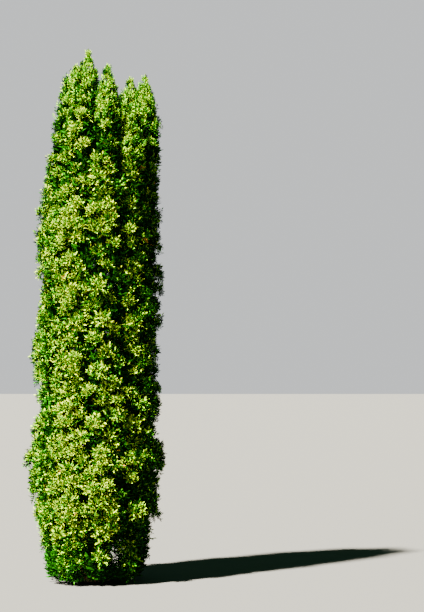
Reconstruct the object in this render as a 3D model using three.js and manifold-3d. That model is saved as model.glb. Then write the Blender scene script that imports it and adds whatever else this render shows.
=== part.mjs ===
// Columnar arborvitae: seven upright stems from one butt, each wrapped in its own tiers of foliage.
// Millimetres, +Z up, with the origin at the middle of the flat cut at ground level.
// The side that is seen first faces -Y, and +X is on its right.

import * as THREE from 'three';
import { mergeVertices } from 'three/addons/utils/BufferGeometryUtils.js';
import Module from 'manifold-3d';

const wasm = await Module();
wasm.setup();

// The stems. Foliage stands round column [x, y] over most of the height and leans to tip [x, y]
// at its top. reach is how far it would spread with no end to the stem, and taper is how far below
// the top it has spread half of that. fork is where the stem leaves the butt, step shifts its tiers
// up or down, and seed starts its own run of random draws.
const STEMS = [
  {
    name: 'main', column: [-130, -190], tip: [-54, -150], top: 4455,
    reach: 310, taper: 490, fork: 0, step: 40, seed: 11,
  },
  {
    name: 'left', column: [-265, 60], tip: [-172, 30], top: 4372,
    reach: 305, taper: 300, fork: 170, step: -230, seed: 23,
  },
  {
    name: 'front', column: [85, -235], tip: [118, -210], top: 4315,
    reach: 300, taper: 490, fork: 230, step: 270, seed: 37,
  },
  {
    name: 'front_right', column: [265, -150], tip: [290, -170], top: 3990,
    reach: 290, taper: 490, fork: 120, step: -110, seed: 41,
  },
  {
    name: 'right', column: [285, 75], tip: [420, 60], top: 4285,
    reach: 305, taper: 490, fork: 290, step: 140, seed: 59,
  },
  {
    name: 'back_right', column: [190, 280], tip: [282, 230], top: 4307,
    reach: 300, taper: 400, fork: 200, step: -90, seed: 67,
  },
  {
    name: 'back', column: [-75, 290], tip: [-50, 240], top: 4200,
    reach: 310, taper: 490, fork: 260, step: 220, seed: 83,
  },
];

// The outline of each column of foliage
const FOOT_HEIGHT = 600;
const FOOT_PULL_IN = 0.38;
const FOOT_GATHER = 0.07;
const LEAN_START = 2000;
const LUMP_SHARE = 0.05;
const LUMP_HEIGHT = 560;
const LUMPS_AROUND = 3;

// Below the separate tips the columns close up into one round crown
const CROWN = { middle: [10, 35], ring: 268, top: 4380, reach: 308, taper: 490 };
const CLOSED_BELOW = 2500;
const OPEN_ABOVE = 3700;

// Named swellings and dents of the outline: side is the direction in degrees from +X
const SWELLINGS = [
  { side: 180, height: 3200, out: 34, spread: 180 },
  { side: 180, height: 2440, out: -36, spread: 170 },
  { side: 180, height: 1930, out: 24, spread: 120 },
  { side: 180, height: 1600, out: -36, spread: 130 },
  { side: 180, height: 1000, out: 92, spread: 120 },
  { side: 180, height: 480, out: -50, spread: 130 },
  { side: 0, height: 3200, out: -18, spread: 200 },
  { side: 0, height: 2350, out: 14, spread: 160 },
  { side: 0, height: 1180, out: -34, spread: 80 },
  { side: 0, height: 1000, out: 66, spread: 110 },
  { side: 0, height: 400, out: -74, spread: 130 },
  { side: 0, height: 120, out: -90, spread: 190 },
  { side: 250, height: 760, out: 30, spread: 160 },
  { side: 300, height: 1650, out: 26, spread: 180 },
];

// Tiers of foliage: heights on the stem where one mass ends and the next begins
const TIERS = ['foot', 'lower', 'upper', 'crown'];
const TIER_STARTS = [0, 850, 1900, 2900];
const TIER_SLOPE = 1.3;
const GROUND_GAP = 18;
const CORE_GROUND_GAP = 34;
const CORE_TIP_GAP = 95;
const CORE_SHARE = 0.72;
const CLUMP_OUT = 26;
const CLUMP_HEIGHT = 150;
const CLUMPS_AROUND = 5;
const CORE_SIDES = 12;
const CORE_RINGS = 6;
const CORE_FULLNESS = 0.22;
const CORE_ENDS = 0.5;
const CORE_ROUNDS = 6;
const CELL_GAP = 7;
const TIP_ROOM = 60;
const FACING_LEAST = 0.01;

// Sprays: toothed blades that stand out of a mass
const FIRST_BUD = 40;
const SPRAY_SPACING = 178;
const SPRAY_CLOSEST_RISE = 0.36;
const SPRAY_SINK = 80;
const SPRAY_LEAST = 190;
const SPRAY_TRIES = [[1, false], [1, true], [0.8, false], [0.8, true], [0.62, false], [0.62, true]];
const SPRAY_WIDTH_SHARE = 0.8;
const SPRAY_THICKNESS = 15;
const SPRAY_SCATTER = 0.05;
const SPRAY_ROLL = 1.3;
const SPRAY_CLEAR = 5;
const SPRAY_LEVEL_LEAST = 0.35;
const LIFT_FOOT = 0.05;
const LIFT_MIDDLE = 1.05;
const LIFT_MIDDLE_FROM = 700;
const LIFT_TIP = 1.45;
const LIFT_TIP_LENGTH = 650;
const HIDDEN_SHARE = 0.7;
const GOLDEN_ANGLE = Math.PI * (3 - Math.sqrt(5));

// The outline of a spray, from its root round its teeth: along its length and across its width
const SPRAY_OUTLINE = [
  [0, 0],
  [0.6, 0.5],
  [0.66, 0.2],
  [1, 0.08],
  [0.74, -0.18],
  [0.78, -0.5],
];
const SPRAY_RIB_AT = 0.5;
const SPRAY_TEETH_BACK = 0.3;

// Wood
const BUTT_RADIUS = 92;
const BUTT_TOP = 520;
const BUTT_BOTTOM = 110;
const FLARE_OUT = 34;
const FLARE_HEIGHT = 75;
const FLARE_LOBES = 5;
const FLARE_LOBE_SHARE = 0.2;
const STEM_RADIUS = { main: 43, other: 33 };
const STEM_TIP_RADIUS = 5;
const WOOD_SHORT_OF_TIP = 230;
const STEM_RISE = 1050;
const STEM_SIDES = { main: 10, other: 7 };
const STEM_RINGS = { main: 14, other: 9 };
const STEM_RINGS_CLOSE_LOW = 1.5;
const SEAT_GAP = 0.5;
const WELD = 0.05;
const MERGE_WITHIN = [2, 1.4, 0.9, 0.5, 0.2];

const ease = (t) => THREE.MathUtils.smoothstep(t, 0, 1);
const mix = THREE.MathUtils.lerp;

// A run of random numbers from 0 to 1, the same on every run
function drawsFrom(seed) {
  let state = seed;
  return () => {
    state = (state + 0x6d2b79f5) | 0;
    let t = Math.imul(state ^ (state >>> 15), 1 | state);
    t = (t + Math.imul(t ^ (t >>> 7), 61 | t)) ^ t;
    return ((t ^ (t >>> 14)) >>> 0) / 4294967296;
  };
}

// Where the middle of a stem's foliage is at a height
function columnAt(stem, height) {
  const gather = 1 - FOOT_GATHER * (1 - ease(height / FOOT_HEIGHT));
  const lean = ease((height - LEAN_START) / (stem.top - LEAN_START));
  return new THREE.Vector2(
    gather * mix(stem.column[0], stem.tip[0], lean),
    gather * mix(stem.column[1], stem.tip[1], lean),
  );
}

// Where the wood of a stem is at a height: it leaves the butt and swings out to its column
function stemAt(stem, height) {
  const swing = ease((height - stem.fork) / STEM_RISE);
  const column = columnAt(stem, height);
  if (stem.name === 'main') return column.multiplyScalar(swing);
  return stemAt(STEMS[0], height).lerp(column, swing);
}

// How far a stem's foliage spreads from its column at a height
function spreadAt(stem, height) {
  const below = Math.max(stem.top - height, 0);
  const lack = Math.max(1 - height / FOOT_HEIGHT, 0);
  return ((stem.reach * below) / (below + stem.taper)) * (1 - FOOT_PULL_IN * lack * lack);
}

// How far it is from a stem's column to the outline of the whole crown in one direction
function crownAt(stem, height, angle) {
  const radius = CROWN.ring + spreadAt(CROWN, height);
  const from = columnAt(stem, height).sub(new THREE.Vector2(...CROWN.middle));
  const along = from.dot(new THREE.Vector2(Math.cos(angle), Math.sin(angle)));
  return Math.sqrt(Math.max(along * along - from.lengthSq() + radius * radius, 0)) - along;
}

// A stem's own outline in one direction, with the lumps and swellings
function outlineAt(stem, height, angle) {
  const wave = Math.sin(LUMPS_AROUND * angle + (2 * Math.PI * height) / LUMP_HEIGHT + stem.seed);
  const own = spreadAt(stem, height);
  const closed = 1 - ease((height - CLOSED_BELOW) / (OPEN_ABOVE - CLOSED_BELOW));
  const wider = Math.max(crownAt(stem, height, angle) - own, 0);
  let out = (own + closed * wider) * (1 + LUMP_SHARE * wave);
  for (const swelling of SWELLINGS) {
    const facing = Math.max(Math.cos(angle - THREE.MathUtils.degToRad(swelling.side)), 0);
    const near = Math.exp(-(((height - swelling.height) / swelling.spread) ** 2));
    out += swelling.out * near * facing ** 3;
  }
  return out;
}

// How far a stem's own space runs in one direction before a neighbour's begins
function spaceAt(stem, height, angle) {
  const middle = columnAt(stem, height);
  const own = spreadAt(stem, height) + TIP_ROOM;
  const direction = new THREE.Vector2(Math.cos(angle), Math.sin(angle));
  let far = Infinity;
  for (const other of STEMS) {
    if (other === stem || other.top <= height) continue;
    const across = columnAt(other, height).sub(middle);
    const share = own / (own + spreadAt(other, height) + TIP_ROOM);
    const towards = direction.dot(across) / across.length();
    if (towards < FACING_LEAST) continue;
    far = Math.min(far, (share * across.length() - CELL_GAP) / towards);
  }
  return far;
}

const tierStart = (stem, tier, out) => TIER_STARTS[tier] + stem.step + TIER_SLOPE * out;
const lowSide = (stem, tier, out) =>
  tier === 0 ? CORE_GROUND_GAP : tierStart(stem, tier, out) + CELL_GAP;
const highSide = (stem, tier, out) =>
  tier === TIERS.length - 1 ? stem.top - CORE_TIP_GAP : tierStart(stem, tier + 1, out) - CELL_GAP;

function inOwnSpace(stem, tier, point) {
  const middle = columnAt(stem, point.z);
  const away = new THREE.Vector2(point.x, point.y).sub(middle);
  const out = away.length();
  if (point.z < GROUND_GAP) return false;
  if (tier > 0 && point.z < lowSide(stem, tier, out)) return false;
  if (tier < TIERS.length - 1 && point.z > highSide(stem, tier, out)) return false;
  return out < spaceAt(stem, Math.min(point.z, stem.top - 1), away.angle());
}

// A closed geometry as a solid
function solidOf(geometry) {
  geometry.deleteAttribute('normal');
  geometry.deleteAttribute('uv');
  const merged = mergeVertices(geometry, 1e-3);
  return new wasm.Manifold(
    new wasm.Mesh({
      numProp: 3,
      vertProperties: merged.getAttribute('position').array,
      triVerts: new Uint32Array(merged.index.array),
    }),
  );
}

function geometryOf(solid) {
  const mesh = solid.getMesh();
  return new THREE.BufferGeometry()
    .setAttribute('position', new THREE.BufferAttribute(new Float32Array(mesh.vertProperties), 3))
    .setIndex(new THREE.BufferAttribute(new Uint32Array(mesh.triVerts), 1));
}

// Moves every vertex of a geometry to where place(x, y, z) says
function reshape(geometry, place) {
  const position = geometry.getAttribute('position');
  for (let i = 0; i < position.count; i += 1) {
    position.setXYZ(i, ...place(position.getX(i), position.getY(i), position.getZ(i)));
  }
  return geometry;
}

function woodRadius(stem, height, angle) {
  const main = stem.name === 'main';
  const share = height / (stem.top - WOOD_SHORT_OF_TIP);
  const stemRadius = mix(main ? STEM_RADIUS.main : STEM_RADIUS.other, STEM_TIP_RADIUS, share);
  if (!main) return stemRadius;
  const butt = 1 - ease((height - BUTT_BOTTOM) / (BUTT_TOP - BUTT_BOTTOM));
  const flare = FLARE_OUT * Math.exp(-height / FLARE_HEIGHT);
  const lobes = 1 + FLARE_LOBE_SHARE * Math.cos(FLARE_LOBES * angle);
  return stemRadius + (BUTT_RADIUS - STEM_RADIUS.main) * butt + flare * lobes;
}

// One tapering stem. grow swells it evenly, to cut its seat in what lies round it.
function stemSolid(stem, grow) {
  const kind = stem.name === 'main' ? 'main' : 'other';
  const woodTop = stem.top - WOOD_SHORT_OF_TIP;
  const tube = new THREE.CylinderGeometry(1, 1, 1, STEM_SIDES[kind], STEM_RINGS[kind]);
  tube.rotateX(Math.PI / 2);
  reshape(tube, (x, y, z) => {
    // Rings lie closer together where the stem swings out of the butt
    const height = mix(stem.fork, woodTop, (z + 0.5) ** STEM_RINGS_CLOSE_LOW);
    const angle = Math.atan2(y, x);
    const out = Math.hypot(x, y) * (woodRadius(stem, height, angle) + grow);
    const middle = stemAt(stem, height);
    const end = Math.abs(z) > 0.499 ? Math.sign(z) * grow : 0;
    return [middle.x + out * Math.cos(angle), middle.y + out * Math.sin(angle), height + end];
  });
  return solidOf(tube);
}

const largestPiece = (solid) =>
  solid.decompose().reduce((best, piece) => (piece.volume() > best.volume() ? piece : best));

// The clumps that a core's surface shows: two waves that cross, one round it and one up it
const clumpAt = (stem, height, angle) =>
  CLUMP_OUT * (Math.sin(CLUMPS_AROUND * angle + height / CLUMP_HEIGHT + stem.seed)
    + Math.sin(height * 2 * Math.PI / CLUMP_HEIGHT + 2 * angle));

// Whether each edge of a solid still joins just two faces once its corners are rounded
function isSound(solid) {
  const mesh = solid.getMesh();
  const rounded = Array.from(mesh.vertProperties, (value) => Math.round(value * 1000));
  const corner = (i) => rounded.slice(3 * i, 3 * i + 3).join();
  const faces = new Map();
  for (let i = 0; i < mesh.triVerts.length; i += 3) {
    const corners = [...mesh.triVerts.slice(i, i + 3)].map(corner);
    if (new Set(corners).size < 3) continue;
    corners.forEach((from, k) => {
      const edge = [from, corners[(k + 1) % 3]].sort().join();
      faces.set(edge, (faces.get(edge) ?? 0) + 1);
    });
  }
  return [...faces.values()].every((count) => count === 2);
}

// The dense heart of a mass: a ball pulled out to its stem's own space
function coreSolid(stem, tier) {
  const ball = new THREE.SphereGeometry(1, CORE_SIDES, CORE_RINGS);
  ball.rotateX(Math.PI / 2);
  reshape(ball, (x, y, z) => {
    const angle = Math.atan2(y, x);
    const flat = Math.min(Math.hypot(x, y), 1) ** CORE_FULLNESS;
    const share = (1 + Math.sign(z) * Math.abs(z) ** CORE_ENDS) / 2;
    let out = 0;
    let height = mix(lowSide(stem, tier, 0), highSide(stem, tier, 0), share);
    for (let round = 0; round < CORE_ROUNDS; round += 1) {
      const full = CORE_SHARE * outlineAt(stem, Math.min(height, stem.top - 1), angle);
      const clump = clumpAt(stem, height, angle) * Math.min(full / stem.reach, 1);
      out = flat * Math.max(Math.min(full + clump, spaceAt(stem, height, angle)), 0);
      height = mix(lowSide(stem, tier, out), highSide(stem, tier, out), share);
    }
    const middle = columnAt(stem, height);
    return [middle.x + out * Math.cos(angle), middle.y + out * Math.sin(angle), height];
  });
  return solidOf(ball);
}

// A spray is a thin fan with a raised rib: a double cone whose rim takes the toothed outline.
function spraySolid(tip, along, across, length, mirrored) {
  const profile = [[0, -1], [1, 0], [0, 1]].map(([out, up]) => new THREE.Vector2(out, up));
  const fan = new THREE.LatheGeometry(profile, SPRAY_OUTLINE.length);
  const face = new THREE.Vector3().crossVectors(along, across);
  reshape(fan, (x, y, z) => {
    const turn = THREE.MathUtils.euclideanModulo(Math.atan2(x, z) / (2 * Math.PI), 1);
    const onRim = Math.hypot(x, z) > 0.5;
    const corner = SPRAY_OUTLINE[Math.round(turn * SPRAY_OUTLINE.length) % SPRAY_OUTLINE.length];
    const [u, v] = onRim ? corner : [SPRAY_RIB_AT, 0];
    const point = tip.clone().addScaledVector(along, (u - 1) * length);
    point.addScaledVector(across, (mirrored ? -v : v) * length * SPRAY_WIDTH_SHARE);
    point.addScaledVector(face, (mirrored ? y : -y) * (SPRAY_THICKNESS / 2));
    return point.toArray();
  });
  return solidOf(fan);
}

function liftAt(stem, height) {
  const low = mix(LIFT_FOOT, LIFT_MIDDLE, ease(height / LIFT_MIDDLE_FROM));
  return mix(LIFT_TIP, low, ease((stem.top - height) / LIFT_TIP_LENGTH));
}

// The growing rule: buds follow each other up a stem by the golden angle, evenly spaced over its
// outline, and each bears a spray that rises outwards to the outline.
function budsOn(stem, spacing) {
  const draw = drawsFrom(stem.seed);
  const buds = [];
  let height = GROUND_GAP + FIRST_BUD;
  for (let number = 0; height < stem.top; number += 1) {
    const spread = spreadAt(stem, height);
    buds.push({
      height,
      angle: number * GOLDEN_ANGLE + stem.seed,
      scatter: draw() * 2 - 1,
      roll: draw() * 2 - 1,
      mirrored: draw() < 0.5,
    });
    const even = (spacing * spacing) / (2 * Math.PI * Math.max(spread, 1));
    height += Math.min(even, SPRAY_CLOSEST_RISE * spacing);
  }
  buds.push({ height: stem.top, angle: stem.seed, scatter: 0, roll: 0, mirrored: false });
  return buds;
}

function sprayOf(stem, bud, size, edgeOn) {
  const roll = SPRAY_ROLL * (edgeOn ? Math.sign(bud.roll) : bud.roll);
  const lift = liftAt(stem, bud.height);
  const outline = outlineAt(stem, bud.height, bud.angle) * (1 + SPRAY_SCATTER * bud.scatter);
  const radial = new THREE.Vector3(Math.cos(bud.angle), Math.sin(bud.angle), 0);
  const along = radial.clone().multiplyScalar(Math.cos(lift)).setZ(Math.sin(lift));
  const tangent = new THREE.Vector3(-radial.y, radial.x, 0);
  const across = tangent.applyAxisAngle(along, roll);
  const bare = ((1 - CORE_SHARE) * outline) / Math.max(Math.cos(lift), SPRAY_LEVEL_LEAST);
  const length = size * (Math.max(bare, SPRAY_LEAST) + SPRAY_SINK);
  // A fan turned edge on stands back, so that its teeth reach the outline and not past it
  const teeth = (SPRAY_WIDTH_SHARE / 2) * Math.sin(Math.abs(roll)) * Math.sin(lift);
  const past = length * Math.max(teeth - SPRAY_TEETH_BACK * Math.cos(lift), 0);
  const middle = columnAt(stem, bud.height);
  const tip = new THREE.Vector3(middle.x, middle.y, bud.height);
  tip.addScaledVector(radial, Math.max(outline - past, 0));
  return { tip, along, across, length, mirrored: bud.mirrored };
}

function tierOf(stem, point) {
  const middle = columnAt(stem, Math.min(point.z, stem.top));
  const out = new THREE.Vector2(point.x, point.y).sub(middle).length();
  let tier = 0;
  while (tier < TIERS.length - 1 && point.z > tierStart(stem, tier + 1, out)) tier += 1;
  return tier;
}

const farApart = (a, b) => {
  const [p, q] = [a.boundingBox(), b.boundingBox()];
  return [0, 1, 2].some((k) => p.min[k] > q.max[k] + 1 || q.min[k] > p.max[k] + 1);
};

const clearOf = (solid, others) =>
  others.every((other) => farApart(solid, other) || solid.minGap(other, SPRAY_CLEAR) >= SPRAY_CLEAR);

// Wood first: each stem is cut clear of the butt and of the stems before it
const wood = [];
const seats = [];
for (const stem of STEMS) {
  const whole = seats.reduce((solid, seat) => solid.subtract(seat), stemSolid(stem, 0));
  wood.push(largestPiece(whole));
  seats.push(stemSolid(stem, SEAT_GAP));
}

// Cores next, each in its own space
const masses = [];
for (const stem of STEMS) {
  TIERS.forEach((name, tier) => {
    const core = coreSolid(stem, tier);
    masses.push({ stem, tier, name: `foliage_${stem.name}_${name}`, core, sprays: [] });
  });
}

// Sprays last: one that would leave its space, or touch wood or another mass, is skipped
for (const stem of STEMS) {
  for (const bud of budsOn(stem, SPRAY_SPACING)) {
    const room = spaceAt(stem, Math.min(bud.height, stem.top - 1), bud.angle);
    if (room < HIDDEN_SHARE * outlineAt(stem, bud.height, bud.angle)) continue;
    for (const [size, edgeOn] of SPRAY_TRIES) {
      const shape = sprayOf(stem, bud, size, edgeOn);
      const waist = shape.tip.clone().addScaledVector(shape.along, -shape.length * SPRAY_RIB_AT);
      const mass = masses.find((m) => m.stem === stem && m.tier === tierOf(stem, waist));
      const spray = spraySolid(shape.tip, shape.along, shape.across, shape.length, shape.mirrored);
      const corners = spray.getMesh().vertProperties;
      const inside = [...Array(corners.length / 3).keys()].every((i) =>
        inOwnSpace(stem, mass.tier, new THREE.Vector3(...corners.slice(3 * i, 3 * i + 3))));
      if (!inside) continue;
      const others = masses.filter((m) => m !== mass).flatMap((m) => [m.core, ...m.sprays]);
      if (!clearOf(spray, [...wood, ...others])) continue;
      mass.sprays.push(spray);
      break;
    }
  }
}

// Sprays are fused to their core, and the whole mass is then cut clear of the wood inside it.
// Small facets are merged as far as the surface stays sound.
function fusedMass(mass) {
  const whole = wasm.Manifold.union([mass.core, ...mass.sprays]).asOriginal();
  const tries = MERGE_WITHIN.map((within) => {
    const cut = seats.reduce((solid, seat) => solid.subtract(seat), whole.simplify(within));
    return largestPiece(cut.asOriginal().simplify(WELD));
  });
  return tries.find(isSound) ?? tries.at(-1);
}

// Fibrous grey-brown bark, and scale leaves that are lighter from tier to tier
const bark = { color: 0x6b5140, roughness: 0.95, metalness: 0 };
const greens = [0x4f7a24, 0x5a8a28, 0x669a2e, 0x7cb034];

const arborvitae = new THREE.Group();
STEMS.forEach((stem, index) => {
  const mesh = new THREE.Mesh(geometryOf(wood[index]), new THREE.MeshStandardMaterial(bark));
  mesh.name = stem.name === 'main' ? 'trunk' : `stem_${stem.name}`;
  arborvitae.add(mesh);
});
for (const mass of masses) {
  const solid = fusedMass(mass);
  const leaf = { color: greens[mass.tier], roughness: 0.7, metalness: 0 };
  const mesh = new THREE.Mesh(geometryOf(solid), new THREE.MeshStandardMaterial(leaf));
  mesh.name = mass.name;
  arborvitae.add(mesh);
}

export default arborvitae;
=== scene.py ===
"""Looks of the columnar arborvitae: bark, boughs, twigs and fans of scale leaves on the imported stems.

Metres, +Z up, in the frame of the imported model. The growing rule is that of the model's source, but its
buds bear boughs with twigs and fans here, in place of solid sprays. The swellings of the outline are set
a little otherwise, because open fans end at other places than solid sprays do.
"""

import math

import bmesh
import bpy
import numpy as np
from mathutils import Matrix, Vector, noise


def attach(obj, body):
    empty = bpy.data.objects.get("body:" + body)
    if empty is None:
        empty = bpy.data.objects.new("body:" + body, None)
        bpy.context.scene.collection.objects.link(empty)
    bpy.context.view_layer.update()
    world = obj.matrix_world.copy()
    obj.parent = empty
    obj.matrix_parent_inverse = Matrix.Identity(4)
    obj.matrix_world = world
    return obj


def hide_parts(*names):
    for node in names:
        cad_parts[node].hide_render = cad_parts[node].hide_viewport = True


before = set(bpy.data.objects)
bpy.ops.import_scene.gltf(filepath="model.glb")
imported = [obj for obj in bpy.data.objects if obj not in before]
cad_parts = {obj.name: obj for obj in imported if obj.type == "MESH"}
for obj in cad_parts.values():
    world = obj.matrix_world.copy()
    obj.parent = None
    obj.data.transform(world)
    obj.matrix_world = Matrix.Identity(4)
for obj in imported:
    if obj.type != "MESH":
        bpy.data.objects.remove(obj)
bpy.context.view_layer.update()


# The view and the studio.
# A long lens at eye height, tipped up a little, with the tree left of the middle of the picture.
# A small strong lamp high at the front left is the sun, and green light from all round fills the shade.
EYE_HEIGHT = 1.6
CAMERA_BACK = 11.5
CAMERA_RIGHT = 0.99
CAMERA_TILT = math.radians(3.48)
LENS_MM = 80.0
SENSOR_MM = 36.0
LAMP_LEFT = math.radians(51)
LAMP_UP = math.radians(52)
LAMP_WIDTH = math.radians(3)
LAMP_STRENGTH = 91.0
LAMP_COLOUR = "#FFF6E2"
ROOM_STRENGTH = 0.19
ROOM_COLOUR = "#9CE4B8"
BACKDROP_STRENGTH = 0.9
BACKDROP_COLOUR = "#EEF1F2"
FLOOR_REACH = 400.0
FLOOR_COLOUR = "#3C3D3D"


def linear(hex_colour):
    """An sRGB hex colour as the linear colour that a shader takes, by the standard's own curve."""
    parts = [int(hex_colour[i:i + 2], 16) / 255 for i in (1, 3, 5)]
    return [c / 12.92 if c <= 0.04045 else ((c + 0.055) / 1.055) ** 2.4 for c in parts] + [1.0]


def add_node(tree, kind, values=None, links=None, **settings):
    """Adds a node with its settings, the values of its sockets and the links into them."""
    node = tree.nodes.new(kind)
    for name, value in settings.items():
        setattr(node, name, value)
    for socket, value in (values or {}).items():
        node.inputs[socket].default_value = value
    for socket, (source, output) in (links or {}).items():
        tree.links.new(source.outputs[output], node.inputs[socket])
    return node


def new_material(name, colour, roughness, shine=0.5):
    """A material with a plain shader, to which its section may add patterns."""
    material = bpy.data.materials.new(name)
    material.use_nodes = True
    shader = material.node_tree.nodes["Principled BSDF"]
    shader.inputs["Base Color"].default_value = linear(colour)
    shader.inputs["Roughness"].default_value = roughness
    shader.inputs["Specular IOR Level"].default_value = shine
    return material


def object_of(name, mesh_data, *materials):
    """Puts a finished mesh into the scene as an object at the origin."""
    for material in materials:
        mesh_data.materials.append(material)
    made = bpy.data.objects.new(name, mesh_data)
    bpy.context.scene.collection.objects.link(made)
    return made


camera_data = bpy.data.cameras.new("eye_height_view")
camera_data.lens = LENS_MM
camera_data.sensor_width = SENSOR_MM
camera = bpy.data.objects.new("eye_height_view", camera_data)
camera.location = (CAMERA_RIGHT, -CAMERA_BACK, EYE_HEIGHT)
camera.rotation_euler = (math.pi / 2 + CAMERA_TILT, 0, 0)
bpy.context.scene.collection.objects.link(camera)
bpy.context.scene.camera = camera

lamp_data = bpy.data.lights.new("sun_side_lamp", "SUN")
lamp_data.energy = LAMP_STRENGTH
lamp_data.angle = LAMP_WIDTH
lamp_data.color = linear(LAMP_COLOUR)[:3]
lamp = bpy.data.objects.new("sun_side_lamp", lamp_data)
lamp.rotation_euler = (math.pi / 2 - LAMP_UP, 0, -LAMP_LEFT)
bpy.context.scene.collection.objects.link(lamp)

# Green light comes from all round, while the camera sees the room as a plain light grey
room = bpy.data.worlds.new("pale_room")
room.use_nodes = True
room_tree = room.node_tree
room_light = room_tree.nodes["Background"]
room_light.inputs["Color"].default_value = linear(ROOM_COLOUR)
room_light.inputs["Strength"].default_value = ROOM_STRENGTH
backdrop = add_node(
    room_tree, "ShaderNodeBackground",
    values={"Color": linear(BACKDROP_COLOUR), "Strength": BACKDROP_STRENGTH},
)
ray_kind = add_node(room_tree, "ShaderNodeLightPath")
lit_or_seen = add_node(
    room_tree, "ShaderNodeMixShader",
    links={0: (ray_kind, "Is Camera Ray"), 1: (room_light, 0), 2: (backdrop, 0)},
)
room_tree.links.new(lit_or_seen.outputs[0], room_tree.nodes["World Output"].inputs["Surface"])
bpy.context.scene.world = room

# Matt floor paint: a dark grey, which the strong lamp lifts to a pale one in the picture
floor_shape = bmesh.new()
bmesh.ops.create_grid(floor_shape, x_segments=1, y_segments=1, size=FLOOR_REACH)
floor_mesh = bpy.data.meshes.new("floor")
floor_shape.to_mesh(floor_mesh)
floor_shape.free()
floor_paint = new_material("matt_floor_paint", FLOOR_COLOUR, roughness=0.9)
object_of("floor", floor_mesh, floor_paint)


# The trunk.
# The main stem, from the flat cut at the ground through its root flare up into the highest tip.
# Living wood under thin grey-brown bark that peels in long upright strips.

# The foliage of a stem stands round its column, which leans over to the tip. Its reach is how wide it
# spreads, and its taper how soon. The wood leaves the butt at the fork. The step shifts the heights
# where its tiers begin, and the seed starts what is drawn at random for it.
STEMS = [
    dict(name="main", column=(-0.130, -0.190), tip=(-0.054, -0.150), top=4.455,
         reach=0.310, taper=0.490, fork=0.0, step=0.040, seed=11),
    dict(name="left", column=(-0.265, 0.060), tip=(-0.172, 0.030), top=4.372,
         reach=0.305, taper=0.300, fork=0.170, step=-0.230, seed=23),
    dict(name="front", column=(0.085, -0.235), tip=(0.118, -0.210), top=4.315,
         reach=0.300, taper=0.490, fork=0.230, step=0.270, seed=37),
    dict(name="front_right", column=(0.265, -0.150), tip=(0.290, -0.170), top=3.990,
         reach=0.290, taper=0.490, fork=0.120, step=-0.110, seed=41),
    dict(name="right", column=(0.285, 0.075), tip=(0.420, 0.060), top=4.285,
         reach=0.305, taper=0.490, fork=0.290, step=0.140, seed=59),
    dict(name="back_right", column=(0.190, 0.280), tip=(0.282, 0.230), top=4.307,
         reach=0.300, taper=0.400, fork=0.200, step=-0.090, seed=67),
    dict(name="back", column=(-0.075, 0.290), tip=(-0.050, 0.240), top=4.200,
         reach=0.310, taper=0.490, fork=0.260, step=0.220, seed=83),
]
MAIN = STEMS[0]
FOOT_HEIGHT = 0.6
FOOT_GATHER = 0.07
LEAN_START = 2.0
STEM_RISE = 1.05


def ease(share):
    """A smooth step from 0 to 1."""
    share = np.clip(share, 0.0, 1.0)
    return share * share * (3.0 - 2.0 * share)


def column_at(stem, height):
    """Where the middle of a stem's foliage is at each height."""
    height = np.asarray(height, float)
    gather = 1 - FOOT_GATHER * (1 - ease(height / FOOT_HEIGHT))
    lean = ease((height - LEAN_START) / (stem["top"] - LEAN_START))
    upright = np.multiply.outer(1 - lean, stem["column"])
    return (upright + np.multiply.outer(lean, stem["tip"])) * gather[..., None]


def stem_at(stem, height):
    """Where the wood is: it leaves the butt and swings out to the middle of its foliage."""
    height = np.asarray(height, float)
    swing = ease((height - stem["fork"]) / STEM_RISE)[..., None]
    start = stem_at(MAIN, height) if stem is not MAIN else 0.0
    return start * (1 - swing) + column_at(stem, height) * swing


MAIN_RADIUS = 0.043
SIDE_RADIUS = 0.033
STEM_TIP_RADIUS = 0.005
WOOD_SHORT_OF_TIP = 0.23
BUTT_RADIUS = 0.092
BUTT_TOP = 0.52
BUTT_BOTTOM = 0.11
FLARE_OUT = 0.034
FLARE_HEIGHT = 0.075
FLARE_LOBES = 5
FLARE_LOBE_SHARE = 0.2


def wood_radius(stem, height, angle):
    """The taper of a stem, with the butt and the lobes of the root flare on the trunk."""
    foot_radius = MAIN_RADIUS if stem is MAIN else SIDE_RADIUS
    share = height / (stem["top"] - WOOD_SHORT_OF_TIP)
    radius = foot_radius + (STEM_TIP_RADIUS - foot_radius) * share
    if stem is not MAIN:
        return radius
    butt = 1 - ease((height - BUTT_BOTTOM) / (BUTT_TOP - BUTT_BOTTOM))
    flare = FLARE_OUT * math.exp(-height / FLARE_HEIGHT)
    lobes = 1 + FLARE_LOBE_SHARE * math.cos(FLARE_LOBES * angle)
    return radius + (BUTT_RADIUS - MAIN_RADIUS) * butt + flare * lobes


STRIP_WIDTH = 0.02
STRIP_LENGTH = 0.26
STRIP_DEPTH = 0.0035
STRIP_TWIST = 0.35
STRIP_CREST = 0.5
STRIP_FALL = 2.2
FRAY_SIZE = 0.008
FRAY_STRETCH = 4
FRAY_DEPTH = 0.001


def strip_relief(angle, height, radius):
    """How far the bark stands out: long strips with furrows between them, frayed along their edges."""
    turned = angle + STRIP_TWIST * height
    around = Vector((math.cos(turned), math.sin(turned), 0.0)) * radius
    strips = noise.noise(around / STRIP_WIDTH + Vector((0, 0, height / STRIP_LENGTH)))
    fray = noise.noise(around / FRAY_SIZE + Vector((0, 0, height / (FRAY_STRETCH * FRAY_SIZE))))
    return STRIP_DEPTH * (STRIP_CREST - STRIP_FALL * abs(strips)) + FRAY_DEPTH * fray


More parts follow.
